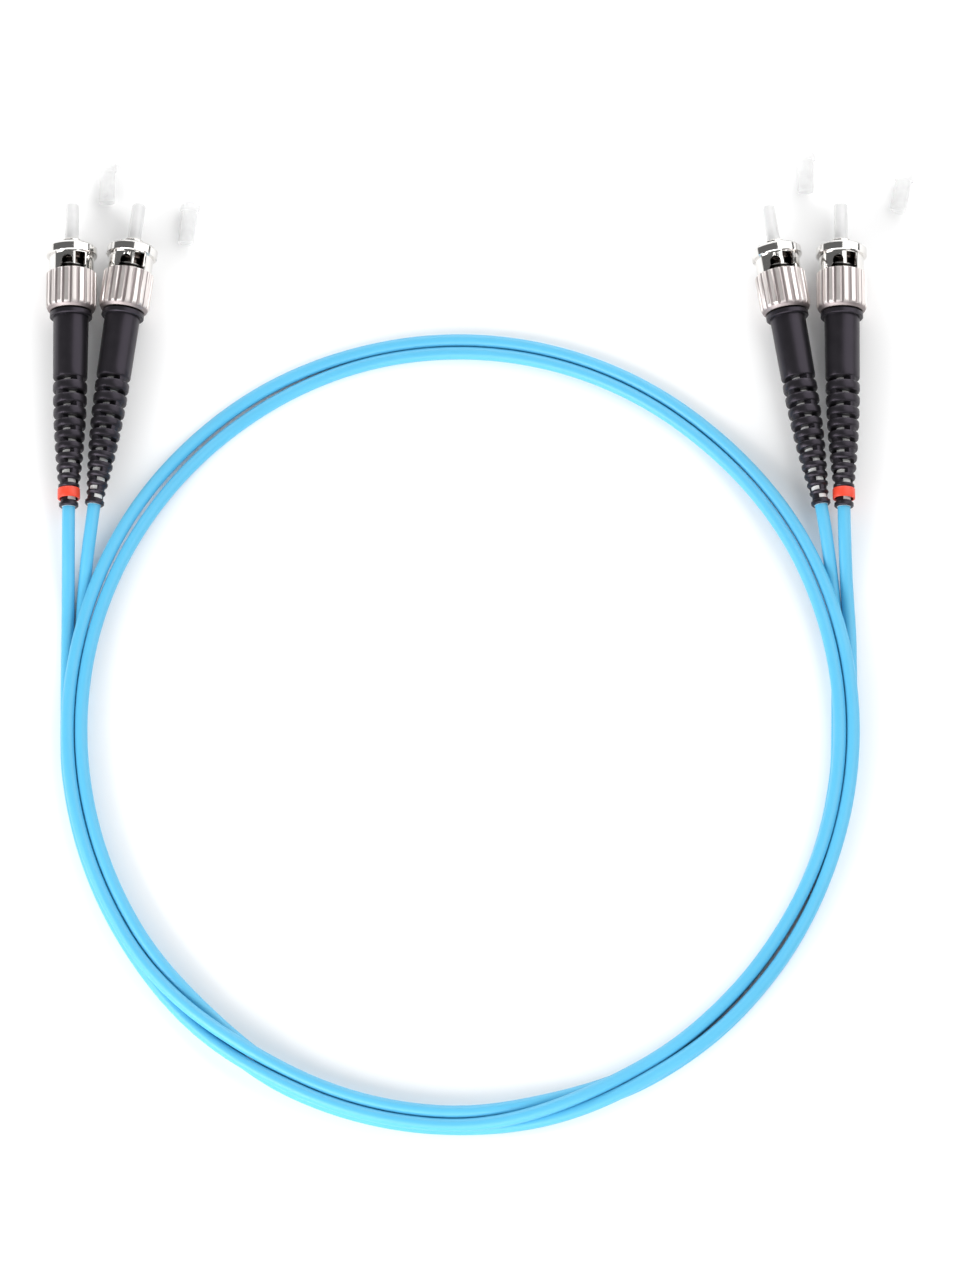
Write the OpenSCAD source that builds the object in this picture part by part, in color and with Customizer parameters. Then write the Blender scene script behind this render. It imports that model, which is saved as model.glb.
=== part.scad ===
// Duplex fibre patch cord: two simplex cords in one coil, four bayonet connectors, four dust caps.
//
// A connector is built along +Z with the ferrule's tip at z = 0, so that everything
// else lies at negative z, and it is then laid down on the floor and turned.
// The bayonet nut slides forward on the ferrule body against its spring and turns freely.

/* [Ferrule] */
// Diameter of the ceramic ferrule
ferrule_d = 2.5; // [2.3:0.05:2.6]
// Length of ferrule in front of the ferrule body
ferrule_out = 7.2; // [6.2:0.1:8]
// Length of the ferrule's seat, pressed into the ferrule body
ferrule_seat = 6; // [4:0.5:8]
// Diameter of the ferrule's seat, stepped down behind a shoulder that rests on the nose
ferrule_seat_d = 2.1; // [1.9:0.1:2.1]
// Chamfer at the ferrule's tip
ferrule_chamfer = 0.3; // [0.1:0.05:0.5]

/* [Ferrule body] */
// Diameter of the nose around the ferrule
nose_d = 3.9; // [3.6:0.1:4.6]
// Length of the nose
nose_len = 2.6; // [2:0.1:3.2]
// Diameter of the collar that the spring pushes on
collar_d = 5.9; // [5.8:0.1:6.4]
// Length of the collar
collar_len = 1.6; // [1:0.1:2.2]
// Width of the key on the collar
key_w = 1.1; // [0.6:0.1:1.8]
// Diameter of the barrel inside the spring
barrel_d = 4.6; // [4.2:0.1:4.8]
// Diameter of the crimp post behind the barrel
post_d = 3.4; // [3:0.1:3.8]
// Length of the crimp post
post_len = 6.6; // [4:0.2:8]
// Diameter of the bore for the buffered fibre
fibre_bore_d = 1.5; // [1:0.1:1.8]

/* [Coupling nut] */
// Diameter of the front flange
flange_d = 9.5; // [9.3:0.1:10.5]
// Length of the front flange
flange_len = 2; // [1.4:0.1:2.4]
// Chamfer round the front flange
flange_chamfer = 0.55; // [0.2:0.05:0.8]
// Diameter of the neck that the bayonet slots cut through
neck_d = 8.3; // [8.2:0.1:8.8]
// Length of the neck
neck_len = 3.3; // [3:0.1:4]
// Diameter over the knurl
knurl_d = 9.4; // [9.2:0.1:10.2]
// Length of the knurl, with the chamfer behind it
knurl_len = 7.5; // [6.8:0.1:9]
// Number of flutes in the knurl
knurl_flutes = 20; // [16:1:24]
// Diameter of the round cutter that makes a flute
flute_d = 0.85; // [0.5:0.05:1]
// Depth of a flute
flute_depth = 0.3; // [0.15:0.05:0.35]
// Bore of the nut, which slides over the adapter's sleeve
nut_bore_d = 7.1; // [7:0.05:7.3]
// Distance from the nose's front back to the nut's front
nut_setback = 1.3; // [0.8:0.1:2]
// Length of the inner shoulder that the spring pushes back
shoulder_len = 2.5; // [1.5:0.1:3]
// Travel of the nut towards the ferrule's tip
nut_travel = 2.6; // [2:0.1:2.8]

/* [Bayonet slot] */
// Width of the slot that an adapter's lug runs in
slot_w = 2; // [1.6:0.1:2.2]
// Wall between the entry groove and the lock recess
tongue_w = 0.55; // [0.3:0.05:0.8]
// Distance from the flange back to the lock recess's round end
recess_gap = 0.8; // [0.4:0.1:1.2]
// Distance from the flange back to the tongue's tip
tongue_len = 2.5; // [2:0.1:3]
// Depth of the groove inside the nut
groove_depth = 0.45; // [0.3:0.05:0.5]
// Width of the lip left in front of and behind a slot
slot_lip = 0.15; // [0.1:0.05:0.3]
// Turn of the nut's slots from the top
slot_turn = -10; // [-45:1:45]

/* [Spring, washer and clip] */
// Diameter of the spring's wire
spring_wire_d = 0.45; // [0.3:0.05:0.5]
// Turns of the spring
spring_turns = 4.5; // [3:0.5:5]
// Thickness of the thrust washer behind the spring
washer_t = 0.5; // [0.3:0.1:0.8]
// Thickness of the retaining clip
clip_t = 0.7; // [0.4:0.1:0.9]
// Outer diameter of the retaining clip
clip_d = 6.4; // [5.6:0.1:6.6]
// Width of the gap in the retaining clip
clip_gap = 2.2; // [1.5:0.1:3]

/* [Crimp sleeve and inner tube] */
// Wall of the crimp sleeve
crimp_wall = 0.38; // [0.25:0.01:0.45]
// Length of the crimp sleeve over the post
crimp_len = 7; // [5:0.5:8]
// Length of the sleeve's thin rear end, round the inner tube
crimp_tail_len = 4; // [2:0.5:4.5]
// Diameter of the white inner tube
tube_d = 2.5; // [2:0.05:2.6]
// Bore of the white inner tube
tube_bore_d = 1; // [0.6:0.1:1.2]

/* [Boot] */
// Diameter of the boot's front rim
rim_d = 7.9; // [7.2:0.1:8]
// Length of the boot's front rim
rim_len = 1; // [0.6:0.1:1.4]
// Diameter of the smooth part of the boot at its front
boot_front_d = 6.6; // [6.4:0.1:7]
// Diameter of the boot where its slots begin
boot_d = 6.4; // [6.2:0.1:6.8]
// Diameter of the tail behind the last slot
tail_d = 3.2; // [3.1:0.1:3.6]
// Diameter of the end flange
end_flange_d = 3.6; // [3.4:0.1:4]
// Length of the end flange
end_flange_len = 0.9; // [0.6:0.1:1.2]
// Length of the whole connector, from the ferrule's tip to the boot's end
connector_len = 59.5; // [58.5:0.1:64]
// Number of levels of slots
slot_levels = 12; // [6:1:12]
// Distance from the ferrule's tip to the first level
first_level = 35; // [34:0.1:36]
// Distance from the last level to the end flange
last_gap = 0.6; // [0.6:0.1:1]
// How much longer the first pitch is than the mean, and the last one shorter
pitch_taper = 0.26; // [0.1:0.01:0.3]
// Length of a slot along the boot
slot_len = 0.8; // [0.5:0.05:0.9]
// Thickness of the web that joins two rings of the boot
web_t = 1.6; // [1.2:0.1:2]
// Depth of the waist round each level
waist_depth = 0.3; // [0.1:0.05:0.35]

/* [Identification ring] */
// Wall of the red ring
id_ring_wall = 0.12; // [0.12:0.01:0.3]
// Length of the red ring
id_ring_len = 1.9; // [1.2:0.1:2]
// Distance from the boot's end to the red ring
id_ring_gap = 1.6; // [1.5:0.1:2]

/* [Dust cap] */
// Length of a dust cap
cap_len = 7.5; // [6.5:0.1:9]
// Outer diameter of a dust cap's body
cap_d = 3; // [3:0.05:3.4]
// Diameter of the rim at the cap's mouth
cap_rim_d = 3.6; // [3.5:0.05:4.2]
// Length of the rim
cap_rim_len = 1.4; // [0.8:0.1:2]
// Thickness of the cap's closed end
cap_end_t = 0.9; // [0.5:0.1:1.5]

/* [Cord] */
// Diameter of a simplex cord
cord_d = 2.4; // [2:0.1:2.6]
// Half width of the coil, from its centre to the middle of the bundle
coil_rx = 70.8; // [69:0.1:72]
// Half length of the coil
coil_ry = 74.6; // [73:0.1:76]

/* [Hidden] */
$fn = 64;
eps = 0.01;
ring_steps = 12; // rings of the spring's mesh in one turn

// Clearances
running_gap = 0.08; // nut and washer on the barrel
face_gap = 0.05; // pieces that only touch end to end, such as spring and washer
body_gap = 0.25; // nut and boot, which move apart
key_gap = 0.15; // key in the nut's bore
sleeve_gap = 0.04; // sleeve on the post and on the inner tube
boot_gap = 0.1; // boot on what it is pushed over
tube_gap = 0.05; // inner tube in the boot
ring_gap = 0.03; // red ring on the boot
cap_gap = 0.05; // dust cap on the ferrule, across the diameter

// Places along the connector, measured back from the ferrule's tip
collar_at = ferrule_out + nose_len;
barrel_at = collar_at + collar_len;
nut_at = ferrule_out + nut_setback;
neck_at = nut_at + flange_len;
knurl_at = neck_at + neck_len;
nut_end = knurl_at + knurl_len;
clip_recess_len = clip_t + 0.7;
shoulder_end = nut_end - clip_recess_len;
shoulder_at = shoulder_end - shoulder_len;
washer_at = shoulder_at - face_gap - washer_t;
clip_at = shoulder_end + face_gap;
boot_at = nut_end + body_gap;
post_at = boot_at + rim_len;
post_end = post_at + post_len;
crimp_at = post_at + 0.3;
crimp_step = crimp_at + crimp_len;
crimp_end = crimp_step + crimp_tail_len;
end_flange_at = connector_len - end_flange_len;

// Radii that follow others
crimp_r = post_d / 2 + sleeve_gap + crimp_wall;
crimp_tail_r = tube_d / 2 + sleeve_gap + crimp_wall;
boot_bore_r = tube_d / 2 + tube_gap;
shoulder_r = barrel_d / 2 + running_gap;
key_r = nut_bore_d / 2 - key_gap;
clip_bore_r = barrel_d / 2 - 0.35;
clip_recess_r = clip_d / 2 + 0.2;
groove_r = nut_bore_d / 2 + groove_depth;
spring_r = barrel_d / 2 + 0.2 + spring_wire_d / 2;
axis_height = max(flange_d, knurl_d) / 2;

// Where the boot's levels lie, and how its outline narrows from boot_d to tail_d
last_level = end_flange_at - last_gap;
function level_at(i) =
    let (u = i / (slot_levels - 1))
    first_level + (last_level - first_level) * u * (1 + pitch_taper * (1 - u));
levels = [for (i = [0:slot_levels - 1]) level_at(i)];
function boot_r(s) =
    let (t = max(0, s - first_level) / (end_flange_at - first_level))
    (boot_d - (boot_d - tail_d) * t * t) / 2;

// The plan: where each connector's boot ends, and how far its tip leans to the right
left_outer = [-72, 42, 0];
left_inner = [-67.3, 42.4, 7.5];
right_inner = [66.8, 42.4, -9.1];
right_outer = [71, 42, 0];

// The middle of each dust cap that lies beside the connectors, and how far it leans
cap_left = [-65.7, 106.6, 0];
cap_centre_left = [-50.5, 98.6, 6];
cap_centre_right = [64.6, 108.8, 0];
cap_right = [82.5, 104.9, 11];

// The origin is on the floor, under the middle of the connectors and caps
function lean_x(p, along, across) = p[0] + along * sin(abs(p[2])) + across * cos(p[2]);
plan_left = left_outer[0] - axis_height;
plan_right = lean_x(cap_right, cap_len / 2, cap_rim_d / 2);
plan_near = left_outer[1];
plan_far = cap_centre_right[1] + cap_len / 2;
origin_x = (plan_left + plan_right) / 2;
origin_y = (plan_near + plan_far) / 2;

// A cap lies on its rim and on the edge of its closed end
cap_tilt = atan((cap_rim_d - cap_d) / 2 / (cap_len - cap_rim_len));
cap_height = cap_rim_d / 2 * cos(cap_tilt) - (cap_len / 2 - cap_rim_len) * sin(cap_tilt);

// The route of each leg, from the boot's end to where it lies inside the coil
leg_left_outer = [
    [-72, 42, axis_height], [-72, 38, 4.5], [-72, 33, 3.5], [-72, 28, 2.2],
    [-72, 23, 1.4], [-72, 18, 1.2], [-72, 12, 1.2], [-72, 6, 1.2],
];
leg_left_inner = [
    [-67.3, 42.4, axis_height], [-67.85, 38, 4.5], [-68.5, 33, 3.4], [-69, 28, 2],
    [-69.35, 23, 1.3], [-69.5, 18, 1.2], [-69.6, 12, 1.2], [-69.6, 6, 1.2],
];
leg_right_inner = [
    [66.8, 42.4, axis_height], [67.5, 38, 4.5], [68.2, 33, 3.4], [68.8, 28, 2],
    [69.25, 23, 1.3], [69.5, 18, 1.2], [69.6, 12, 1.2], [69.6, 6, 1.2],
];
leg_right_outer = [
    [71, 42, axis_height], [71.05, 38, 4.5], [71.2, 33, 3.5], [71.4, 28, 2.2],
    [71.7, 23, 1.4], [71.95, 18, 1.2], [72, 12, 1.2], [72, 6, 1.2],
];

// The coil is an oval of four arcs, and its section holds two cords side by side
coil_offset = (coil_ry - coil_rx) / (2 - sqrt(2));
coil_w = 2 * cord_d + 0.6;
coil_h = 2 * cord_d;

// ---- Helpers ----

// Moves the plan so that the origin lies under the middle of the connectors and caps
module in_plan() translate([-origin_x, -origin_y, 0]) children();

// Lays a connector down, with its boot ending at p and its tip leaning by p[2]
module connector(p)
    in_plan()
        translate([p[0], p[1], axis_height])
            rotate([0, 0, -p[2]])
                rotate([-90, 0, 0])
                    translate([0, 0, connector_len])
                        children();

// A tube from one place behind the tip to another
module pipe(from, to, outer_r, inner_r)
    translate([0, 0, -to])
        difference() {
            cylinder(r = outer_r, h = to - from);
            translate([0, 0, -eps]) cylinder(r = inner_r, h = to - from + 2 * eps);
        }

// A solid of revolution: each point is a radius and a place behind the tip
module turned(points)
    rotate_extrude() polygon([for (p = points) [p[0], -p[1]]]);

// The side faces and caps of a tube whose rings of points follow each other
function tube_faces(rings, sides) = concat(
    [for (i = [0:rings - 2], j = [0:sides - 1])
        [i * sides + j, i * sides + (j + 1) % sides,
         (i + 1) * sides + (j + 1) % sides, (i + 1) * sides + j]],
    [[for (j = [sides - 1:-1:0]) j]],
    [[for (j = [0:sides - 1]) (rings - 1) * sides + j]]
);

// ---- Pieces of a connector ----

module ferrule()
    color("white")
        turned([
            [0, 0], [ferrule_d / 2 - ferrule_chamfer, 0], [ferrule_d / 2, ferrule_chamfer],
            [ferrule_d / 2, ferrule_out], [ferrule_seat_d / 2, ferrule_out],
            [ferrule_seat_d / 2, ferrule_out + ferrule_seat], [0, ferrule_out + ferrule_seat],
        ]);

// Nose, collar with its key, barrel with the clip's groove, and ribbed crimp post
module ferrule_body()
    color("silver")
        difference() {
            union() {
                turned([
                    [0, ferrule_out], [nose_d / 2 - 0.2, ferrule_out],
                    [nose_d / 2, ferrule_out + 0.2], [nose_d / 2, collar_at],
                    [collar_d / 2, collar_at], [collar_d / 2, barrel_at],
                    [barrel_d / 2, barrel_at], [barrel_d / 2, post_at],
                    [post_d / 2, post_at], [post_d / 2, post_end], [0, post_end],
                ]);
                intersection() {
                    translate([-key_w / 2, 0, -barrel_at]) cube([key_w, key_r, collar_len]);
                    translate([0, 0, -barrel_at]) cylinder(r = key_r, h = collar_len);
                }
            }
            translate([0, 0, -ferrule_out - ferrule_seat])
                cylinder(d = ferrule_seat_d, h = ferrule_seat + eps);
            translate([0, 0, -post_end - eps])
                cylinder(d = fibre_bore_d, h = post_end - ferrule_out);
            pipe(clip_at, clip_at + clip_t, barrel_d, clip_bore_r);
            for (s = [post_at + 1.2:1.2:post_end - 0.6])
                pipe(s, s + 0.4, post_d, post_d / 2 - 0.2);
        }

// A slot for an adapter's lug, cut outwards from the bore at one angle round the nut
module lug_slot(angle, from, to, outer_r)
    rotate([0, 0, angle])
        translate([-slot_w / 2, -outer_r, -to])
            cube([slot_w, outer_r - nut_bore_d / 4, to - from]);

// The stretch of wall between two angles, from the bore out to outer_r
module lug_channel(from_angle, to_angle, from, to, outer_r)
    translate([0, 0, -to])
        rotate([0, 0, from_angle - 90])
            rotate_extrude(angle = to_angle - from_angle)
                translate([nut_bore_d / 4, 0]) square([outer_r - nut_bore_d / 4, to - from]);

// The path of one lug: in at the front, back along the groove, round past the tongue's tip,
// and forward into the round lock recess. It is cut through the neck, up to a lip at the knurl.
module lug_path(turn) {
    channel_at = neck_at + tongue_len;
    channel_mid = channel_at + slot_w / 2;
    lip_at = knurl_at - slot_lip;
    recess_at = neck_at + recess_gap + slot_w / 2;
    through_r = neck_d / 2 + 0.1;
    entry_angle = (slot_w + tongue_w) / (neck_d / 2) * 180 / PI;
    half_angle = asin((slot_w + 0.2) / nut_bore_d);
    rotate([0, 0, turn]) {
        lug_slot(entry_angle, nut_at - 1, channel_mid, groove_r);
        lug_slot(0, recess_at, channel_mid, groove_r);
        lug_channel(-half_angle, entry_angle + half_angle, channel_at, channel_at + slot_w, groove_r);
        lug_slot(entry_angle, neck_at + slot_lip, lip_at - 0.3, through_r);
        lug_slot(0, recess_at, lip_at - 0.3, through_r);
        lug_channel(-half_angle, entry_angle + half_angle, channel_at + 0.05, lip_at, through_r);
        translate([0, 0, -recess_at])
            rotate([90, 0, 0])
                translate([0, 0, nut_bore_d / 4])
                    cylinder(d = slot_w, h = through_r - nut_bore_d / 4);
    }
}

module coupling_nut()
    color("gainsboro")
        difference() {
            turned([
                [nut_bore_d / 2 + 0.15, nut_at], [flange_d / 2 - flange_chamfer, nut_at],
                [flange_d / 2, nut_at + flange_chamfer], [flange_d / 2, neck_at - 0.15],
                [flange_d / 2 - 0.15, neck_at], [neck_d / 2, neck_at], [neck_d / 2, knurl_at],
                [knurl_d / 2 - 0.2, knurl_at], [knurl_d / 2, knurl_at + 0.2],
                [knurl_d / 2, nut_end - 1.1], [knurl_d / 2 - 0.35, nut_end - 0.35],
                [knurl_d / 2 - 0.7, nut_end], [clip_recess_r, nut_end],
                [clip_recess_r, shoulder_end], [shoulder_r, shoulder_end],
                [shoulder_r, shoulder_at], [nut_bore_d / 2, shoulder_at],
                [nut_bore_d / 2, nut_at + 0.15],
            ]);
            for (i = [0:knurl_flutes - 1])
                rotate([0, 0, i * 360 / knurl_flutes])
                    translate([knurl_d / 2 + flute_d / 2 - flute_depth, 0, -nut_end - eps])
                        cylinder(d = flute_d, h = knurl_len + 2 * eps, $fn = 24);
            for (turn = [0, 180])
                lug_path(turn + slot_turn);
        }

// The compression spring between the collar and the thrust washer
module spring() {
    sides = 6;
    from = barrel_at + face_gap + spring_wire_d / 2;
    to = washer_at - face_gap - spring_wire_d / 2;
    rings = spring_turns * ring_steps + 1;
    points = [
        for (i = [0:rings - 1], j = [0:sides - 1])
            let (a = i * 360 / ring_steps, b = j * 360 / sides,
                 r = spring_r + spring_wire_d / 2 * cos(b),
                 s = from + (to - from) * i / (rings - 1))
            [r * cos(a), r * sin(a), -s + spring_wire_d / 2 * sin(b)]
    ];
    color("silver") polyhedron(points, tube_faces(rings, sides));
}

module thrust_washer()
    color("silver")
        pipe(washer_at, washer_at + washer_t, nut_bore_d / 2 - key_gap, shoulder_r);

// An open ring snapped into the barrel's groove: the nut rests on it
module retaining_clip()
    color("dimgray")
        difference() {
            pipe(clip_at, clip_at + clip_t, clip_d / 2, clip_bore_r);
            translate([-clip_gap / 2, 0, -clip_at - clip_t - eps])
                cube([clip_gap, clip_d, clip_t + 2 * eps]);
        }

// A crimp ferrule: its wide part grips the post, its thin end holds the inner tube
module crimp_sleeve()
    color("goldenrod")
        turned([
            [post_d / 2 + sleeve_gap, crimp_at], [crimp_r, crimp_at], [crimp_r, crimp_step],
            [crimp_tail_r, crimp_step + 0.4], [crimp_tail_r, crimp_end],
            [tube_d / 2 + sleeve_gap, crimp_end], [tube_d / 2 + sleeve_gap, crimp_step],
            [post_d / 2 + sleeve_gap, crimp_step - 0.4],
        ]);

module inner_tube()
    color("whitesmoke")
        pipe(crimp_step + 0.2, connector_len, tube_d / 2, tube_bore_d / 2);

// The outline of one ring of the boot, from a waist to the next one
function ring_outline(from, to) = [
    [boot_r(from) - waist_depth, from], [boot_r(from) - 0.1, from + 0.12],
    [boot_r(from + 0.4), from + 0.4], [boot_r(to - 0.4), to - 0.4],
    [boot_r(to) - 0.1, to - 0.12], [boot_r(to) - waist_depth, to],
];

// Rim, smooth body, and a tail of rings joined by webs that turn a quarter at each level
module boot()
    color("#2b2a2e")
        difference() {
            turned(concat(
                [
                    [barrel_d / 2 + boot_gap, boot_at], [rim_d / 2 - 0.15, boot_at],
                    [rim_d / 2, boot_at + 0.15], [rim_d / 2, post_at - 0.15],
                    [rim_d / 2 - 0.15, post_at], [boot_front_d / 2, post_at],
                    [boot_d / 2, levels[0] - slot_len / 2 - 0.4],
                    [boot_d / 2 - 0.1, levels[0] - slot_len / 2 - 0.12],
                    [boot_d / 2 - waist_depth, levels[0] - slot_len / 2],
                ],
                [for (i = [0:slot_levels - 2])
                    each ring_outline(levels[i] + slot_len / 2, levels[i + 1] - slot_len / 2)],
                [
                    [tail_d / 2 - 0.1, levels[slot_levels - 1] + slot_len / 2],
                    [tail_d / 2 - 0.1, end_flange_at], [end_flange_d / 2, end_flange_at + 0.2],
                    [end_flange_d / 2, connector_len - 0.2],
                    [end_flange_d / 2 - 0.2, connector_len],
                    [boot_bore_r, connector_len], [boot_bore_r, crimp_end + boot_gap],
                    [crimp_tail_r + boot_gap, crimp_end + boot_gap],
                    [crimp_tail_r + boot_gap, crimp_step + 0.4 + boot_gap],
                    [crimp_r + boot_gap, crimp_step + boot_gap],
                    [crimp_r + boot_gap, post_at + 0.15], [barrel_d / 2 + boot_gap, post_at + 0.15],
                ]
            ));
            for (i = [0:slot_levels - 1], side = [0, 180])
                rotate([0, 0, 45 + 90 * (i % 2) + side])
                    translate([web_t / 2, -boot_d, -levels[i] - slot_len / 2])
                        cube([boot_d, 2 * boot_d, slot_len]);
        }

// A rubber ring that grips the boot's tail
module id_ring() {
    to = connector_len - id_ring_gap;
    from = to - id_ring_len;
    outer_r = boot_r(from) + ring_gap + id_ring_wall;
    color("orangered")
        turned([
            [boot_r(from) + ring_gap, from], [outer_r - 0.08, from],
            [outer_r, from + 0.2], [outer_r, to - 0.2],
            [outer_r - 0.08, to], [boot_r(to) + ring_gap, to],
        ]);
}

// ---- Dust caps and cords ----

// A push-on cap, closed at one end and rimmed at its mouth, lying where it was put down
module dust_cap(p)
    in_plan()
        translate([p[0], p[1], cap_height])
            rotate([0, 0, -p[2]])
                rotate([-90 + cap_tilt, 0, 0])
                    color("white", 0.6)
                        translate([0, 0, cap_len / 2])
                            turned([
                                [(ferrule_d + cap_gap) / 2, 0], [cap_rim_d / 2 - 0.15, 0],
                                [cap_rim_d / 2, 0.15], [cap_rim_d / 2, cap_rim_len - 0.15],
                                [cap_rim_d / 2 - 0.15, cap_rim_len], [cap_d / 2, cap_rim_len],
                                [cap_d / 2, cap_len - 0.2], [cap_d / 2 - 0.2, cap_len],
                                [0, cap_len], [0, cap_len - cap_end_t],
                                [(ferrule_d + cap_gap) / 2, cap_len - cap_end_t],
                            ]);

// A cord swept along its route, with eight sides
module cord_leg(route) {
    sides = 8;
    last = len(route) - 1;
    points = [
        for (i = [0:last])
            let (t = route[min(i + 1, last)] - route[max(i - 1, 0)],
                 t1 = t / norm(t),
                 side = cross(t1, [0, 0, 1]) / norm(cross(t1, [0, 0, 1])),
                 up = cross(side, t1))
            for (j = [0:sides - 1])
                let (a = (j + 0.5) * 360 / sides)
                route[i] + cord_d / 2 * (cos(a) * side + sin(a) * up)
    ];
    in_plan() color("deepskyblue") polyhedron(points, tube_faces(last + 1, sides));
}

// A quarter of the coil: its section lies from the floor up, round the bundle's middle.
// Quarter 0 is on the right, and the others follow it anticlockwise.
module coil_quarter(quarter, centre, r, height)
    translate(centre)
        rotate([0, 0, 90 * quarter - 45])
            rotate_extrude(angle = 90)
                translate([r - coil_w / 2, 0]) square([coil_w, height]);

// Four cords deep at the sides and the near end, two cords at the far end
module cord_coil()
    in_plan()
        color("deepskyblue") {
            coil_quarter(0, [-coil_offset, 0, 0], coil_rx + coil_offset, coil_h);
            coil_quarter(1, [0, coil_offset, 0], coil_ry - coil_offset, cord_d);
            coil_quarter(2, [coil_offset, 0, 0], coil_rx + coil_offset, coil_h);
            coil_quarter(3, [0, -coil_offset, 0], coil_ry - coil_offset, coil_h);
        }

connector(left_outer) ferrule();  // ferrule_left_outer
connector(left_inner) ferrule();  // ferrule_left_inner
connector(right_inner) ferrule();  // ferrule_right_inner
connector(right_outer) ferrule();  // ferrule_right_outer
connector(left_outer) ferrule_body();  // ferrule_body_left_outer
connector(left_inner) ferrule_body();  // ferrule_body_left_inner
connector(right_inner) ferrule_body();  // ferrule_body_right_inner
connector(right_outer) ferrule_body();  // ferrule_body_right_outer
connector(left_outer) coupling_nut();  // coupling_nut_left_outer
connector(left_inner) coupling_nut();  // coupling_nut_left_inner
connector(right_inner) coupling_nut();  // coupling_nut_right_inner
connector(right_outer) coupling_nut();  // coupling_nut_right_outer
connector(left_outer) spring();  // spring_left_outer
connector(left_inner) spring();  // spring_left_inner
connector(right_inner) spring();  // spring_right_inner
connector(right_outer) spring();  // spring_right_outer
connector(left_outer) thrust_washer();  // thrust_washer_left_outer
connector(left_inner) thrust_washer();  // thrust_washer_left_inner
connector(right_inner) thrust_washer();  // thrust_washer_right_inner
connector(right_outer) thrust_washer();  // thrust_washer_right_outer
connector(left_outer) retaining_clip();  // retaining_clip_left_outer
connector(left_inner) retaining_clip();  // retaining_clip_left_inner
connector(right_inner) retaining_clip();  // retaining_clip_right_inner
connector(right_outer) retaining_clip();  // retaining_clip_right_outer
connector(left_outer) crimp_sleeve();  // crimp_sleeve_left_outer
connector(left_inner) crimp_sleeve();  // crimp_sleeve_left_inner
connector(right_inner) crimp_sleeve();  // crimp_sleeve_right_inner
connector(right_outer) crimp_sleeve();  // crimp_sleeve_right_outer
connector(left_outer) inner_tube();  // inner_tube_left_outer
connector(left_inner) inner_tube();  // inner_tube_left_inner
connector(right_inner) inner_tube();  // inner_tube_right_inner
connector(right_outer) inner_tube();  // inner_tube_right_outer
connector(left_outer) boot();  // boot_left_outer
connector(left_inner) boot();  // boot_left_inner
connector(right_inner) boot();  // boot_right_inner
connector(right_outer) boot();  // boot_right_outer
connector(left_outer) id_ring();  // id_ring_left_outer
connector(right_outer) id_ring();  // id_ring_right_outer
dust_cap(cap_left);  // dust_cap_left
dust_cap(cap_centre_left);  // dust_cap_centre_left
dust_cap(cap_centre_right);  // dust_cap_centre_right
dust_cap(cap_right);  // dust_cap_right
cord_leg(leg_left_outer);  // cord_leg_left_outer
cord_leg(leg_left_inner);  // cord_leg_left_inner
cord_leg(leg_right_inner);  // cord_leg_right_inner
cord_leg(leg_right_outer);  // cord_leg_right_outer
cord_coil();
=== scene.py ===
"""Looks of the duplex fibre patch cord: cords, connector pieces, dust caps, materials and studio."""
import math

import bmesh
import bpy
from mathutils import Matrix, Vector


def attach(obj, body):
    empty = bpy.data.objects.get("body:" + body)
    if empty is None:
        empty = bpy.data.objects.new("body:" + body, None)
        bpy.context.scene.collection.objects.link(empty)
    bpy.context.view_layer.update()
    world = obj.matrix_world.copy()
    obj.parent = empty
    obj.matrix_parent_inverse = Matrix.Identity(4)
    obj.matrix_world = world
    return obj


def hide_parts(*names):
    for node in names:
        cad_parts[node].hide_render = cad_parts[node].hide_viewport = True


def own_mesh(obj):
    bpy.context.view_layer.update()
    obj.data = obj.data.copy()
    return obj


MM = 0.001
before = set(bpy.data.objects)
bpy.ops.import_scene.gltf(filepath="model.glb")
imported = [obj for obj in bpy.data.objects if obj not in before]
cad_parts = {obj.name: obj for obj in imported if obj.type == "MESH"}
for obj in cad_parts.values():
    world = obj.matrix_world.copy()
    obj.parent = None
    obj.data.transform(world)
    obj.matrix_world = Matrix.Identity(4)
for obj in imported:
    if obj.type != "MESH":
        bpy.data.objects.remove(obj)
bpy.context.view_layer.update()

# The plan, in millimetres, as the part's source gives it
ORIGIN = Vector((4.116231, 77.275, 0.0))
# Each connector's boot end, and its lean in degrees
ENDS = {
    "left_outer": (-72.0, 42.0, 0.0),
    "left_inner": (-67.3, 42.4, 7.5),
    "right_inner": (66.8, 42.4, -9.1),
    "right_outer": (71.0, 42.0, 0.0),
}
AXIS_HEIGHT = 4.75
CONNECTOR_LEN = 59.5

# ---------------------------------------------------------------- camera

VIEW_ELEVATION = math.radians(72)
VIEW_TARGET = Vector((-0.25, -59.5, 0.0)) * MM
VIEW_DISTANCE = 2.0
VIEW_WIDTH = 176.8 * MM
SENSOR_WIDTH = 36


def add_camera():
    data = bpy.data.cameras.new("camera")
    data.sensor_fit = "HORIZONTAL"
    data.sensor_width = SENSOR_WIDTH
    data.lens = SENSOR_WIDTH * VIEW_DISTANCE / VIEW_WIDTH
    data.clip_end = 10
    camera = bpy.data.objects.new("camera", data)
    back = Vector((0, -math.cos(VIEW_ELEVATION), math.sin(VIEW_ELEVATION)))
    camera.location = VIEW_TARGET + back * VIEW_DISTANCE
    camera.rotation_euler = (math.pi / 2 - VIEW_ELEVATION, 0, 0)
    bpy.context.collection.objects.link(camera)
    bpy.context.scene.camera = camera


add_camera()

# ---------------------------------------------------------------- shader expressions


OBJECT_OUT = 3  # the texture coordinate node's output for the object's own coordinates


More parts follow.
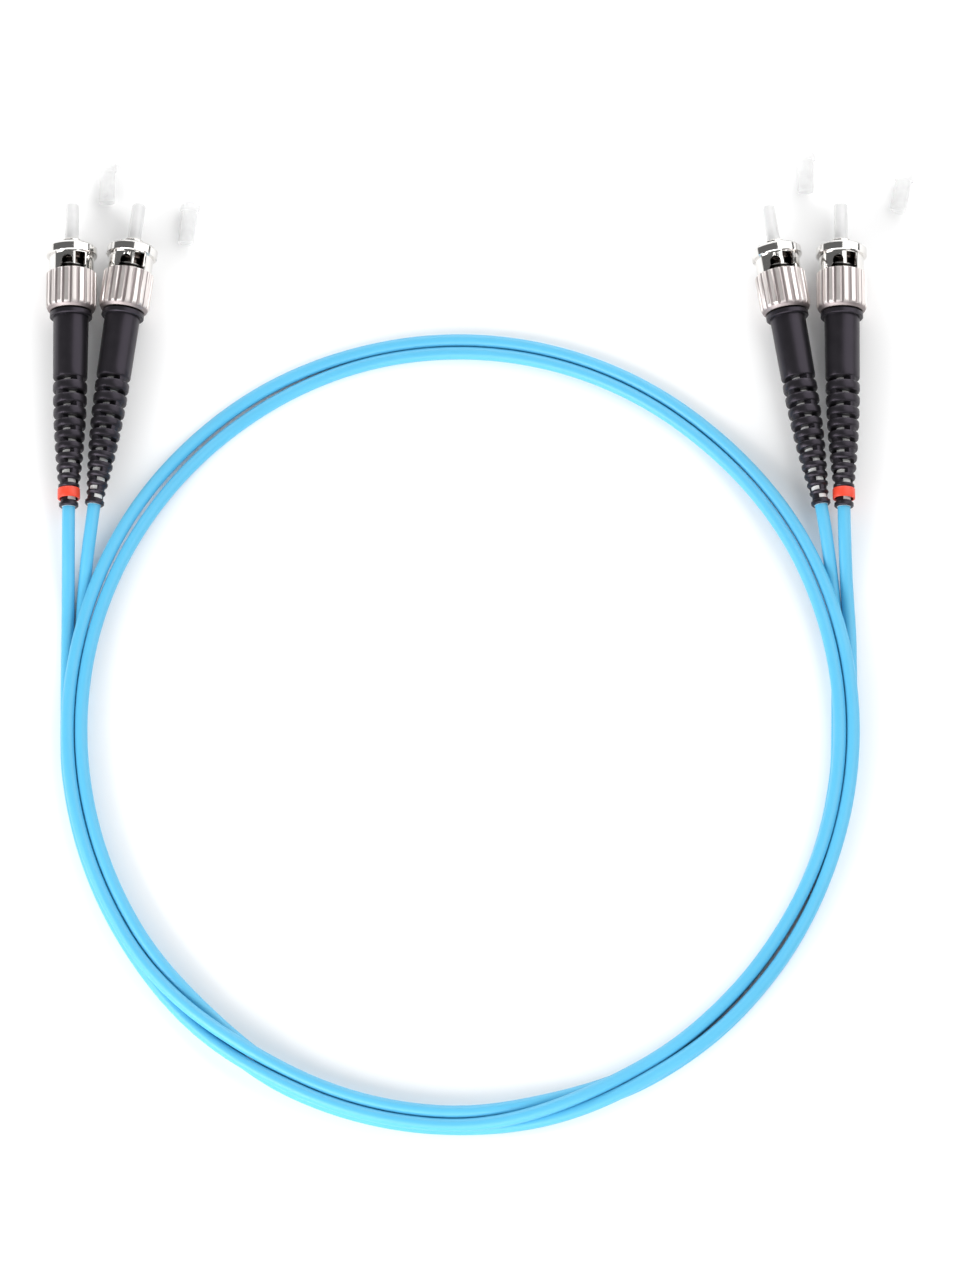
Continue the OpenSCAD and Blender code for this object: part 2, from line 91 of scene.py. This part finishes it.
class Socket:
    """A shader socket that takes part in Python arithmetic."""

    def __init__(self, tree, link):
        self.tree = tree
        self.link = link

    def _math(self, operation, *values):
        return self.tree.node("ShaderNodeMath", {"operation": operation}, *values)

    def __add__(self, other):
        return self._math("ADD", self, other)

    def __rsub__(self, other):
        return self._math("SUBTRACT", other, self)

    def __mul__(self, other):
        return self._math("MULTIPLY", self, other)

    __radd__ = __add__
    __rmul__ = __mul__


class Surface:
    """One material: a Principled shader and the nodes that feed it."""

    def __init__(self, name, **principled):
        self.material = bpy.data.materials.new(name)
        self.material.use_nodes = True
        self.nodes = self.material.node_tree.nodes
        self.shader = self.nodes["Principled BSDF"]
        for socket, value in principled.items():
            self.feed(socket.replace("_", " ").title().replace("Ior", "IOR"), value)

    def put(self, socket, value):
        if isinstance(value, Socket):
            self.material.node_tree.links.new(value.link, socket)
        else:
            socket.default_value = value

    def feed(self, socket, value):
        self.put(self.shader.inputs[socket], value)

    def node(self, kind, settings, *values, out=0, **named):
        node = self.nodes.new(kind)
        for key, value in settings.items():
            setattr(node, key, value)
        for socket, value in zip(node.inputs, values):
            self.put(socket, value)
        for key, value in named.items():
            self.put(node.inputs[key.replace("_", " ")], value)
        return Socket(self, node.outputs[out])

    def place(self):
        return self.node("ShaderNodeTexCoord", {}, out=OBJECT_OUT)

    def noise(self, place, scale, detail):
        return self.node("ShaderNodeTexNoise", {}, Vector=place, Scale=scale, Detail=detail)

    def blend(self, factor, first, second):
        """Two colours mixed; the numbers are a Mix node's sockets for colours."""
        node = self.nodes.new("ShaderNodeMix")
        node.data_type = "RGBA"
        self.put(node.inputs[0], factor)
        self.put(node.inputs[6], first)
        self.put(node.inputs[7], second)
        return Socket(self, node.outputs[2])

    def ramp(self, value, low, high):
        """0 where value is low, 1 where it is high."""
        return self.node("ShaderNodeMapRange", {}, Value=value, From_Min=low, From_Max=high)

    def axial(self):
        """A turned piece's radius and place behind the ferrule's tip, in millimetres."""
        point = self.node("ShaderNodeUVMap", {"uv_map": "axial"})
        split = self.node("ShaderNodeSeparateXYZ", {}, point)
        return split, Socket(self, split.link.node.outputs[1])

    def rings(self, along, per_mm):
        """Fine lathe rings round a turned piece."""
        return self.node("ShaderNodeTexNoise", {"noise_dimensions": "1D"}, W=along,
                         Scale=per_mm, Detail=3.0, Roughness=0.6)

    def bump(self, height, strength, distance):
        """Roughens the surface by a distance in metres."""
        self.feed("Normal", self.node("ShaderNodeBump", {}, Strength=strength,
                                      Distance=distance, Height=height))


# ---------------------------------------------------------------- materials

# What the finishes and the painted shade follow, in millimetres: where the knurl begins behind the
# tip, and radii
KNURL_AT = 13.8
KNURL_R, FLUTE_DEPTH = 4.7, 0.3
NUT_BORE_R = 3.55
NOSE_R = 1.95


def aqua_jacket():
    s = Surface("aqua_jacket", specular_ior_level=0.45)
    place = s.place()
    cloud = s.noise(place, 60, 3)
    s.feed("Base Color", s.blend(cloud, (0.085, 0.42, 0.66, 1), (0.11, 0.47, 0.71, 1)))
    s.feed("Roughness", 0.30 + 0.14 * s.noise(place, 900, 2))
    s.bump(s.noise(place, 2600, 3), 0.12, 0.00006)
    return s.material


def bright_nickel():
    """Polished plating in front, satin ribs on the knurl with dull grooves that carry painted shade,
    and painted shade in the bore.
    """
    s = Surface("bright_nickel", metallic=1.0)
    radius, along = s.axial()
    place = s.place()
    lathe = s.rings(along, 9)
    stain = s.noise(place, 700, 3)
    knurl = s.ramp(along, KNURL_AT - 0.05, KNURL_AT + 0.05)
    # Painted shade: the grooves between the knurl's ribs are painted dark where shade falls; they
    # are also a little rougher.
    dull_shaded_flute = knurl * (1 - s.ramp(radius, KNURL_R - FLUTE_DEPTH, KNURL_R - 0.35 * FLUTE_DEPTH))
    plated = s.blend(lathe, (0.74, 0.73, 0.71, 1), (0.84, 0.82, 0.80, 1))
    ribs = s.blend(stain, (0.80, 0.74, 0.72, 1), (0.88, 0.83, 0.81, 1))
    outside = s.blend(knurl, plated, ribs)
    with_flute_shade = s.blend(dull_shaded_flute, outside, (0.30, 0.26, 0.26, 1))
    # Painted shade: the nut's bore is painted near black, where little light reaches.
    bore_shade = 1 - s.ramp(radius, NUT_BORE_R + 0.04, NUT_BORE_R + 0.12)
    s.feed("Base Color", s.blend(bore_shade, with_flute_shade, (0.05, 0.035, 0.035, 1)))
    s.feed("Roughness", 0.08 + 0.06 * stain + 0.32 * knurl + 0.05 * dull_shaded_flute)
    s.bump(lathe, 0.10, 0.00002)
    return s.material


def turned_nickel():
    """The ferrule body: plated nose, and a barrel painted dark as shade, where the nut covers it."""
    s = Surface("turned_nickel", metallic=1.0)
    place = s.place()
    radius, _ = s.axial()
    grain = s.noise(place, 1500, 3)
    plated = s.blend(grain, (0.66, 0.64, 0.61, 1), (0.78, 0.76, 0.73, 1))
    # Painted shade: the barrel, covered by the nut, is painted dark.
    shaded_barrel = s.blend(grain, (0.07, 0.055, 0.05, 1), (0.12, 0.10, 0.09, 1))
    s.feed("Base Color", s.blend(s.ramp(radius, NOSE_R + 0.1, NOSE_R + 0.3), plated, shaded_barrel))
    s.feed("Roughness", 0.16 + 0.12 * grain)
    s.bump(grain, 0.08, 0.00002)
    return s.material


def spring_steel():
    s = Surface("spring_steel", metallic=1.0)
    place = s.place()
    scale = s.noise(place, 2200, 2)
    s.feed("Base Color", s.blend(scale, (0.34, 0.33, 0.32, 1), (0.52, 0.51, 0.50, 1)))
    s.feed("Roughness", 0.24 + 0.16 * scale)
    s.bump(scale, 0.1, 0.00002)
    return s.material


def crimp_brass():
    s = Surface("crimp_brass", metallic=1.0)
    place = s.place()
    tarnish = s.noise(place, 500, 4)
    s.feed("Base Color", s.blend(tarnish, (0.66, 0.47, 0.20, 1), (0.80, 0.62, 0.30, 1)))
    s.feed("Roughness", 0.22 + 0.2 * tarnish)
    s.bump(s.noise(place, 3000, 2), 0.1, 0.00002)
    return s.material


def zirconia():
    """Polished white ceramic, with the fibre's end as a small grey dot at its tip."""
    s = Surface("zirconia", specular_ior_level=0.7)
    radius, along = s.axial()
    cloud = s.noise(s.place(), 800, 3)
    ceramic = s.blend(cloud, (0.62, 0.62, 0.62, 1), (0.70, 0.70, 0.70, 1))
    fibre = (1 - s.ramp(radius, 0.05, 0.08)) * (1 - s.ramp(along, 0.1, 0.2))
    s.feed("Base Color", s.blend(fibre, ceramic, (0.20, 0.22, 0.25, 1)))
    s.feed("Roughness", 0.10 + 0.08 * cloud)
    s.bump(s.rings(along, 14), 0.04, 0.00001)
    return s.material


def white_tube():
    s = Surface("white_tube", specular_ior_level=0.4)
    place = s.place()
    cloud = s.noise(place, 600, 3)
    s.feed("Base Color", s.blend(cloud, (0.72, 0.72, 0.71, 1), (0.86, 0.86, 0.85, 1)))
    s.feed("Roughness", 0.35 + 0.15 * cloud)
    s.bump(s.noise(place, 2500, 2), 0.1, 0.00002)
    return s.material


def boot_rubber():
    """Moulded black elastomer with a fine mould texture, and a violet tint on its gloss that is a
    painted reflection of tinted studio light.
    """
    # Painted reflection: the violet specular tint stands in for tinted studio light on the gloss.
    s = Surface("boot_rubber", specular_ior_level=0.42, specular_tint=(0.86, 0.74, 0.94, 1))
    place = s.place()
    cloud = s.noise(place, 350, 3)
    mould = s.noise(place, 3800, 3)
    s.feed("Base Color", s.blend(cloud, (0.007, 0.007, 0.008, 1), (0.015, 0.014, 0.016, 1)))
    s.feed("Roughness", 0.28 + 0.12 * cloud)
    s.bump(mould, 0.18, 0.00003)
    return s.material


def red_rubber():
    s = Surface("red_rubber", specular_ior_level=0.45)
    place = s.place()
    cloud = s.noise(place, 700, 3)
    s.feed("Base Color", s.blend(cloud, (0.66, 0.045, 0.02, 1), (0.80, 0.075, 0.035, 1)))
    s.feed("Roughness", 0.34 + 0.14 * cloud)
    s.bump(s.noise(place, 3000, 2), 0.12, 0.00003)
    return s.material


def cap_plastic():
    """Soft, milky, see-through polyethylene."""
    s = Surface("cap_plastic", specular_ior_level=0.35)
    place = s.place()
    cloud = s.noise(place, 500, 3)
    s.feed("Base Color", s.blend(cloud, (0.80, 0.80, 0.80, 1), (0.86, 0.86, 0.86, 1)))
    s.feed("Alpha", 0.34 + 0.14 * cloud)
    s.feed("Roughness", 0.22 + 0.16 * cloud)
    s.bump(s.noise(place, 2500, 2), 0.08, 0.00002)
    return s.material


AQUA = aqua_jacket()
NICKEL = bright_nickel()
TURNED = turned_nickel()
STEEL = spring_steel()
BRASS = crimp_brass()
CERAMIC = zirconia()
TUBE = white_tube()
RUBBER = boot_rubber()
RED = red_rubber()
CLEAR = cap_plastic()

# ---------------------------------------------------------------- cords

CORD_D = 2.4
COIL_RX = 70.8
COIL_RY = 74.6
COIL_OFFSET = (COIL_RY - COIL_RX) / (2 - math.sqrt(2))
LEAST_OPENING, MORE_OPENING = 0.05, 0.5
# An angle on the coil, and how far from it the opening is whole and is gone
OPENINGS = [(135, 8, 34), (322, 6, 22)]
# Degrees travelled where a strand over the top goes down and comes up again
DESCENT, CLIMB = (204, 232), (308, 336)
# Degrees travelled where the bundle twists, a quarter turn each time
FIRST_TWIST, SECOND_TWIST = (31, 65), (88, 122)
SIDE_LEAN = 0.12
KNOT_EVERY, TRAVEL_END, STEPS_PER_KNOT = 4, 540, 4
# From each boot to the coil
LEGS = {
    "left_outer": [
        (-72, 42, AXIS_HEIGHT), (-72, 38, 4.5), (-72, 33, 3.5), (-72, 28, 2.2),
        (-72, 23, 1.4), (-72, 18, 1.2), (-72, 12, 1.2), (-72, 6, 1.2),
    ],
    "left_inner": [
        (-67.3, 42.4, AXIS_HEIGHT), (-67.85, 38, 4.5), (-68.5, 33, 3.4), (-69, 28, 2.0),
        (-69.35, 23, 1.3), (-69.5, 18, 1.2), (-69.6, 12, 1.2), (-69.6, 6, 1.2),
    ],
    "right_inner": [
        (66.8, 42.4, AXIS_HEIGHT), (67.5, 38, 4.5), (68.2, 33, 3.4), (68.8, 28, 2.0),
        (69.25, 23, 1.3), (69.5, 18, 1.2), (69.6, 12, 1.2), (69.6, 6, 1.2),
    ],
    "right_outer": [
        (71, 42, AXIS_HEIGHT), (71.05, 38, 4.5), (71.2, 33, 3.5), (71.4, 28, 2.2),
        (71.7, 23, 1.4), (71.95, 18, 1.2), (72, 12, 1.2), (72, 6, 1.2),
    ],
}


def smooth(x, low, high):
    """0 below low, 1 above high, and an even slope between."""
    t = min(1.0, max(0.0, (x - low) / (high - low)))
    return t * t * (3 - 2 * t)


def oval(angle, outward):
    """A point on the coil's oval of four arcs, moved outward from its middle line."""
    a = math.radians(angle)
    side = abs(math.cos(a)) >= abs(math.sin(a))
    if side:
        centre = Vector((-math.copysign(COIL_OFFSET, math.cos(a)), 0))
        r = COIL_RX + COIL_OFFSET + outward
    else:
        centre = Vector((0, math.copysign(COIL_OFFSET, math.sin(a))))
        r = COIL_RY - COIL_OFFSET + outward
    return centre + r * Vector((math.cos(a), math.sin(a)))


def opening(angle):
    """How far the two columns of the coil stand apart, more at two places."""
    share = max(1 - smooth(abs(angle % 360 - middle), whole, gone)
                for middle, whole, gone in OPENINGS)
    return LEAST_OPENING + MORE_OPENING * share


def strand(travel, corner):
    """Where a cord lies in the coil. travel is its angle from the left legs, through one and
    a half turns; corner is its place in the square of four cords, at the left legs."""
    angle = 180 + travel
    half = CORD_D / 2
    over_the_top = 180 < travel < 360
    if over_the_top:
        up = 1 - smooth(travel, *DESCENT) + smooth(travel, *CLIMB)
        outward = half if corner == -135 else -half
        height = half + CORD_D * up
    else:
        along = travel % 360
        turn = 90 * smooth(along, *FIRST_TWIST) + 90 * smooth(along, *SECOND_TWIST)
        a = math.radians(corner + turn + (180 if travel >= 360 else 0))
        t = math.radians(turn)
        middle = half + half * (abs(math.cos(t)) + abs(math.sin(t)))
        outward = math.sqrt(2) * half * math.cos(a)
        height = middle + math.sqrt(2) * half * math.sin(a)
    outward *= 1 + opening(angle) / CORD_D
    point = oval(angle, outward)
    return Vector((point.x + SIDE_LEAN * (height - half), point.y, height))


def smooth_line(points, steps):
    """A Catmull-Rom line through the points, with a number of steps between two of them."""
    points = [Vector(p) for p in points]
    line = []
    for i in range(len(points) - 1):
        p0, p1 = points[max(i - 1, 0)], points[i]
        p2, p3 = points[i + 1], points[min(i + 2, len(points) - 1)]
        for k in range(steps):
            t = k / steps
            line.append(0.5 * (2 * p1 + (p2 - p0) * t + (2 * p0 - 5 * p1 + 4 * p2 - p3) * t * t
                               + (3 * p1 - p0 - 3 * p2 + p3) * t * t * t))
    return line + [points[-1]]


def cord_route(left_leg, right_leg, corner):
    turns = [strand(travel, corner) for travel in range(KNOT_EVERY, TRAVEL_END, KNOT_EVERY)]
    knots = LEGS[left_leg] + turns + LEGS[right_leg][::-1]
    return [(p - ORIGIN) * MM for p in smooth_line(knots, STEPS_PER_KNOT)]


def line_length(points):
    return sum((b - a).length for a, b in zip(points, points[1:]))


def add_cord(name, left_leg, right_leg, corner, nodes):
    points = cord_route(left_leg, right_leg, corner)
    curve = bpy.data.curves.new(name, "CURVE")
    curve.dimensions = "3D"
    curve.bevel_depth = CORD_D / 2 * MM
    curve.bevel_resolution = 5
    spline = curve.splines.new("POLY")
    spline.points.add(len(points) - 1)
    for knot, p in zip(spline.points, points):
        knot.co = (*p, 1)
    spline.use_smooth = True
    cord = bpy.data.objects.new(name, curve)
    bpy.context.collection.objects.link(cord)
    cord.data.materials.append(AQUA)
    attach(cord, "root")
    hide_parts(*nodes)
    line_length(points)


add_cord("cord_outer", "left_outer", "right_outer", -45,
         ["cord_leg_left_outer", "cord_leg_right_outer", "cord_coil"])
add_cord("cord_inner", "left_inner", "right_inner", -135,
         ["cord_leg_left_inner", "cord_leg_right_inner", "cord_coil"])

# ---------------------------------------------------------------- connector pieces

# Millimetres behind the ferrule's tip, radii, and the rounding of metal and rubber edges
FERRULE_OUT, FERRULE_END = 7.2, 13.2
FERRULE_R, SEAT_R = 1.25, 1.05
METAL_EDGE, RUBBER_EDGE = 0.05, 0.12
# Corners this near each other become one, and faces this flat to each other become one
MERGE_WITHIN, FLAT_WITHIN = 2e-4, math.radians(0.4)


def connector_place(end):
    """From a connector's own millimetres, with its tip at the origin and its boot at -Z,
    to its place on the floor. Its own -Y is up there."""
    x, y, lean = ENDS[end]
    return (Matrix.Scale(MM, 4)
            @ Matrix.Translation(Vector((x, y, AXIS_HEIGHT)) - ORIGIN)
            @ Matrix.Rotation(-math.radians(lean), 4, "Z")
            @ Matrix.Rotation(-math.pi / 2, 4, "X")
            @ Matrix.Translation((0, 0, CONNECTOR_LEN)))


def write_axial(bm):
    """Each corner keeps its radius and its place behind the tip, in millimetres."""
    layer = bm.loops.layers.uv.new("axial")
    for face in bm.faces:
        for loop in face.loops:
            co = loop.vert.co
            loop[layer].uv = (math.hypot(co.x, co.y), -co.z)


def add_piece(name, bm, place, material, body, node, bevel=0.0, segments=2, sharp=32):
    """Puts a piece that was made in its own millimetres where it belongs. The bevel is in
    millimetres, and edges that turn by more than sharp, in degrees, are the ones it rounds."""
    write_axial(bm)
    mesh = bpy.data.meshes.new(name)
    bm.to_mesh(mesh)
    bm.free()
    mesh.transform(place)
    mesh.shade_smooth()
    mesh.set_sharp_from_angle(angle=math.radians(sharp))
    piece = bpy.data.objects.new(name, mesh)
    bpy.context.collection.objects.link(piece)
    mesh.materials.append(material)
    if bevel:
        rounding = piece.modifiers.new("rounding", "BEVEL")
        rounding.width = bevel * MM
        rounding.segments = segments
        rounding.angle_limit = math.radians(sharp)
        rounding.use_clamp_overlap = True
        shading = piece.modifiers.new("shading", "WEIGHTED_NORMAL")
        shading.keep_sharp = True
    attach(piece, body)
    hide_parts(node)
    return piece


def turn(points, steps=72):
    """A solid of revolution: each point is a radius and a place behind the tip."""
    bm = bmesh.new()
    verts = [bm.verts.new((r, 0, -s)) for r, s in points]
    edges = [bm.edges.new(pair) for pair in zip(verts, verts[1:])]
    bmesh.ops.spin(bm, geom=verts + edges, cent=(0, 0, 0), axis=(0, 0, 1), dvec=(0, 0, 0),
                   angle=2 * math.pi, steps=steps, use_merge=True, use_duplicate=False)
    bmesh.ops.remove_doubles(bm, verts=bm.verts, dist=MERGE_WITHIN)
    bmesh.ops.recalc_face_normals(bm, faces=bm.faces)
    return bm


def merged_copy(node, place):
    """A copy of a machined solid's mesh in its connector's own millimetres, joined up."""
    bm = bmesh.new()
    bm.from_mesh(bpy.data.objects[node].data)
    bmesh.ops.transform(bm, matrix=place.inverted(), verts=bm.verts)
    bmesh.ops.remove_doubles(bm, verts=bm.verts, dist=MERGE_WITHIN)
    bmesh.ops.dissolve_limit(bm, angle_limit=FLAT_WITHIN, verts=bm.verts,
                             edges=bm.edges, use_dissolve_boundaries=False,
                             delimit={"NORMAL"})
    return bm


def ferrule():
    """A faintly domed face, a rounded chamfer, the pin and its thinner seat."""
    r, chamfer, face = FERRULE_R, 0.3, 0.9
    return turn([(0, 0), (face / 2, 0.004), (face, 0.02), (r - 0.08, chamfer - 0.04),
                 (r - 0.02, chamfer + 0.05), (r, chamfer + 0.2), (r, FERRULE_OUT),
                 (SEAT_R, FERRULE_OUT), (SEAT_R, FERRULE_END), (0, FERRULE_END)])


for end in ENDS:
    place = connector_place(end)
    add_piece("ceramic_ferrule_" + end, ferrule(), place, CERAMIC, "root", "ferrule_" + end)
    add_piece("nose_and_barrel_" + end, merged_copy("ferrule_body_" + end, place), place,
              TURNED, "root", "ferrule_body_" + end, METAL_EDGE)
    add_piece("bayonet_nut_" + end, merged_copy("coupling_nut_" + end, place), place,
              NICKEL, "nut_" + end, "coupling_nut_" + end, METAL_EDGE)
    add_piece("slotted_boot_" + end, merged_copy("boot_" + end, place), place,
              RUBBER, "root", "boot_" + end, RUBBER_EDGE, 3)


def id_ring():
    """A faintly barrelled ring with rounded edges, and a bore that narrows like the boot."""
    bore, taper, outside, edge, front, back = 1.96, 0.2, 2.08, 0.06, 56.0, 57.9
    return turn([(bore, front), (outside - edge, front), (outside, front + 0.1),
                 (outside + 0.01, (front + back) / 2), (outside, back - 0.1),
                 (outside - edge, back), (bore - taper, back), (bore, front)], 96)


def add_spring(end):
    """The coil spring. Its front end stays at the collar."""
    place = connector_place(end)
    spring = add_piece("coil_spring_" + end, merged_copy("spring_" + end, place), place,
                       STEEL, "root", "spring_" + end, sharp=80)
    rounding = spring.modifiers.new("rounding", "SUBSURF")
    rounding.levels = rounding.render_levels = 1
    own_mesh(spring)


def paint(node, material):
    """A hidden or plain machined node keeps its shape and takes a finish."""
    for material_slot in bpy.data.objects[node].material_slots:
        material_slot.material = material


for end in ("left_outer", "right_outer"):
    add_piece("band_" + end, id_ring(), connector_place(end), RED, "root", "id_ring_" + end)
for end in ENDS:
    add_spring(end)
    paint("thrust_washer_" + end, STEEL)
    paint("retaining_clip_" + end, STEEL)
    paint("crimp_sleeve_" + end, BRASS)
    paint("inner_tube_" + end, TUBE)

# ---------------------------------------------------------------- dust caps

CAP_LEN, CAP_RIM_LEN, CAP_END = 7.5, 1.4, 0.9
CAP_R, CAP_RIM_R, CAP_BORE_R = 1.5, 1.8, 1.275
# Where each cap's middle lies, and its lean in degrees
CAPS = {
    "left": (-65.7, 106.6, 0.0),
    "centre_left": (-50.5, 98.6, 6.0),
    "centre_right": (64.6, 108.8, 0.0),
    "right": (82.5, 104.9, 11.0),
}
# A cap lies on its rim and its closed end
CAP_TILT = math.atan((CAP_RIM_R - CAP_R) / (CAP_LEN - CAP_RIM_LEN))
CAP_HEIGHT = CAP_RIM_R * math.cos(CAP_TILT) - (CAP_LEN / 2 - CAP_RIM_LEN) * math.sin(CAP_TILT)


def cap_place(cap):
    """From a cap's own millimetres, with its mouth at the origin, to where it lies."""
    x, y, lean = CAPS[cap]
    return (Matrix.Scale(MM, 4)
            @ Matrix.Translation(Vector((x, y, CAP_HEIGHT)) - ORIGIN)
            @ Matrix.Rotation(-math.radians(lean), 4, "Z")
            @ Matrix.Rotation(CAP_TILT - math.pi / 2, 4, "X")
            @ Matrix.Translation((0, 0, CAP_LEN / 2)))


def dust_cap():
    """Rounded rim at the mouth, thin wall, rounded closed end."""
    floor = CAP_LEN - CAP_END
    return turn([(CAP_BORE_R, 0.02), (CAP_BORE_R + 0.12, 0), (CAP_RIM_R - 0.15, 0),
                 (CAP_RIM_R - 0.04, 0.05), (CAP_RIM_R, 0.16), (CAP_RIM_R, CAP_RIM_LEN - 0.2),
                 (CAP_RIM_R - 0.05, CAP_RIM_LEN - 0.06), (CAP_R + 0.06, CAP_RIM_LEN + 0.02),
                 (CAP_R, CAP_RIM_LEN + 0.12), (CAP_R, CAP_LEN - 0.35),
                 (CAP_R - 0.09, CAP_LEN - 0.1), (CAP_R - 0.3, CAP_LEN), (0, CAP_LEN),
                 (0, floor), (CAP_BORE_R - 0.2, floor), (CAP_BORE_R, floor - 0.15),
                 (CAP_BORE_R, 0.02)])


for cap in CAPS:
    add_piece("cap_" + cap, dust_cap(), cap_place(cap), CLEAR, "root", "dust_cap_" + cap)

# ---------------------------------------------------------------- studio

FLOOR_HALF, LIGHT_DISTANCE, WORLD_STRENGTH = 2, 1.0, 0.15


def add_floor():
    bm = bmesh.new()
    bmesh.ops.create_grid(bm, x_segments=1, y_segments=1, size=FLOOR_HALF)
    mesh = bpy.data.meshes.new("floor")
    bm.to_mesh(mesh)
    bm.free()
    floor = bpy.data.objects.new("floor", mesh)
    bpy.context.collection.objects.link(floor)
    s = Surface("floor_white", roughness=0.9, base_color=(0.93, 0.93, 0.93, 1))
    floor.data.materials.append(s.material)


def add_light(name, direction, size, power):
    """A soft box that faces the middle of the view from a direction."""
    data = bpy.data.lights.new(name, "AREA")
    data.shape = "RECTANGLE"
    data.size, data.size_y = size
    data.energy = power
    light = bpy.data.objects.new(name, data)
    away = Vector(direction).normalized()
    light.location = VIEW_TARGET + away * LIGHT_DISTANCE
    light.rotation_euler = away.to_track_quat("Z", "Y").to_euler()
    bpy.context.collection.objects.link(light)


def add_world():
    world = bpy.data.worlds.new("studio")
    bpy.context.scene.world = world
    world.use_nodes = True
    background = world.node_tree.nodes["Background"]
    background.inputs[0].default_value = (1, 1, 1, 1)
    background.inputs[1].default_value = WORLD_STRENGTH


add_floor()
add_light("right_box", (0.68, 0.31, 0.66), (1.15, 1.2), 8)
add_light("near_box", (-0.15, -0.85, 0.50), (1.6, 0.8), 12)
add_light("left_box", (-0.75, -0.50, 0.42), (1.0, 0.6), 8)
add_light("far_box", (0.0, 0.93, 0.36), (1.6, 0.6), 9)
add_world()
bpy.context.scene.view_settings.view_transform = "Standard"
